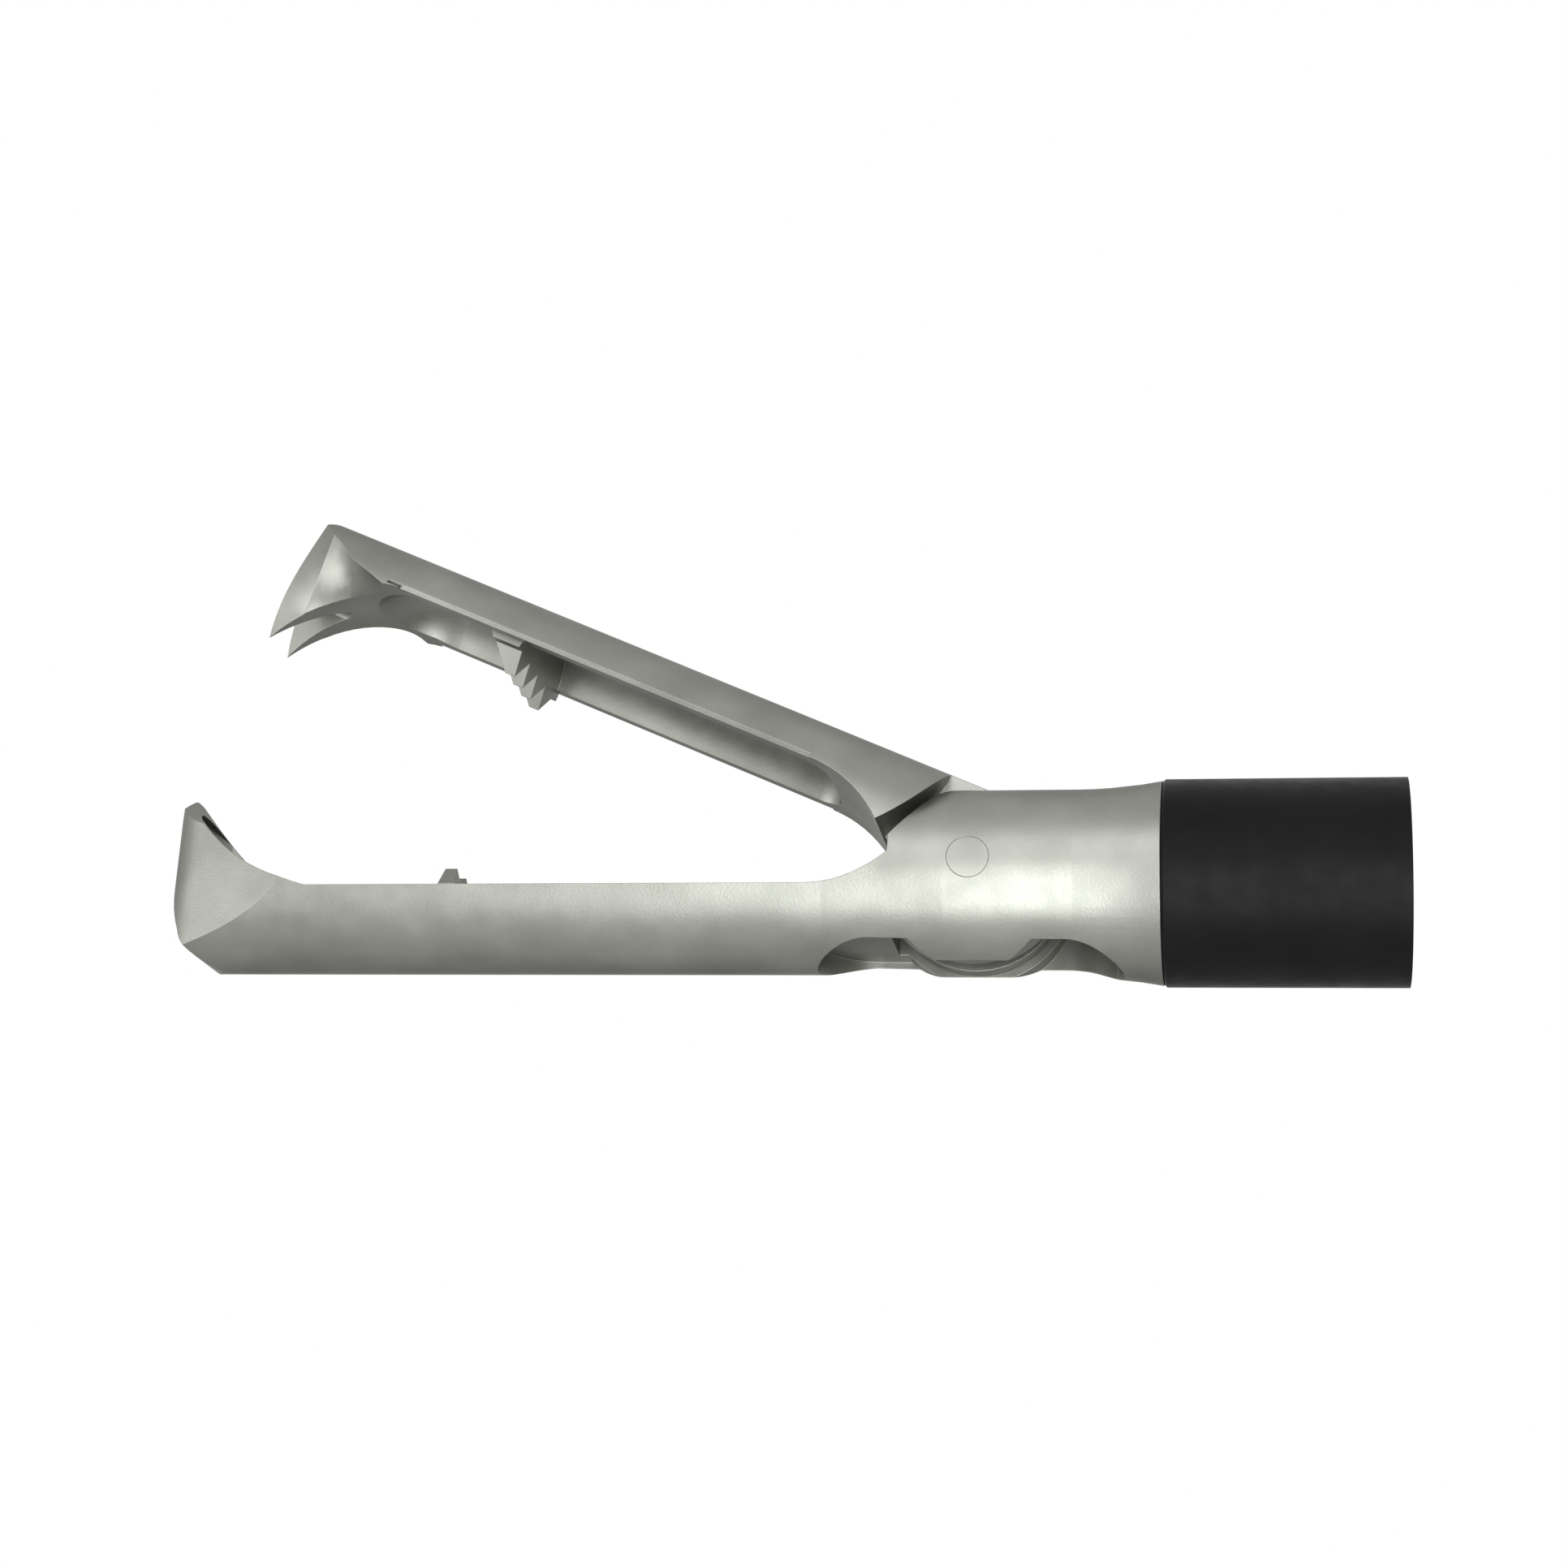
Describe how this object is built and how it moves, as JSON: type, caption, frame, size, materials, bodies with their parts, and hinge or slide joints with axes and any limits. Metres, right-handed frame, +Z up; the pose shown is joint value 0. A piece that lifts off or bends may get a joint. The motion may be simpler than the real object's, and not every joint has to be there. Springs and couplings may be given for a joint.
{
  "type": "spoon grasping forceps",
  "caption": "Working end of spoon grasping forceps: clawed spoon jaws with toothed ridges, the upper one hinged and driven by a push rod, on an insulated shaft stub.",
  "frame": {"origin": "centre of the shaft's cut rear end, on the shaft's axis", "axes": "+X along the shaft, away from the jaws; +Z up, on the moving jaw's side; Y = 0 is the plane of symmetry"},
  "size_m": [0.0613, 0.01, 0.0245],
  "materials": {
    "satin_steel": "fine bead-blasted satin",
    "pin_steel": "ground satin",
    "link_steel": "milled satin",
    "rod_steel": "drawn satin",
    "tube_steel": "drawn satin",
    "sleeve_black": "semi-matt black shrink sleeve",
    "liner_plastic": "smooth white fluoropolymer",
    "clear_insulation": "smooth translucent ivory",
    "bush_plastic": "machined engineering plastic",
    "seal_rubber": "moulded black"
  },
  "bodies": {
    "housing": {"jaw_housing": "satin_steel", "jaw_pivot_pin": "pin_steel", "rod_guide_bush": "bush_plastic", "rod_seal": "seal_rubber", "seal_retainer": "rod_steel", "shaft_tube": "tube_steel", "tube_lock_pins": "pin_steel", "shaft_liner": "liner_plastic", "insulation_sleeve": "sleeve_black"},
    "jaw": {"moving_jaw": "satin_steel", "drive_pin": "pin_steel"},
    "link": {"drive_link": "link_steel"},
    "rod": {"rod_head": "link_steel", "link_pin": "pin_steel", "rod_head_pin": "pin_steel", "push_rod": "rod_steel", "rod_insulation": "clear_insulation"}
  },
  "joints": [
    {"name": "jaw_hinge", "type": "hinge", "parent": "housing", "child": "jaw", "pos_m": [-0.0205, 0, 0], "axis": [0, -1, 0], "range_deg": [0, 23.6]},
    {"name": "rod_slide", "type": "slide", "parent": "housing", "child": "rod", "axis": [1, 0, 0], "range_m": [0, 0.00111]},
    {"name": "link_pivot", "type": "hinge", "parent": "jaw", "child": "link", "pos_m": [-0.02106, 0, -0.00264], "axis": [0, -1, 0], "range_deg": [-23.7, 0]}
  ],
  "couplings": [
    {"joint": "rod_slide", "follows": "jaw_hinge", "m_per_rad": 0.0026809},
    {"joint": "link_pivot", "follows": "jaw_hinge", "ratio": -1}
  ]
}
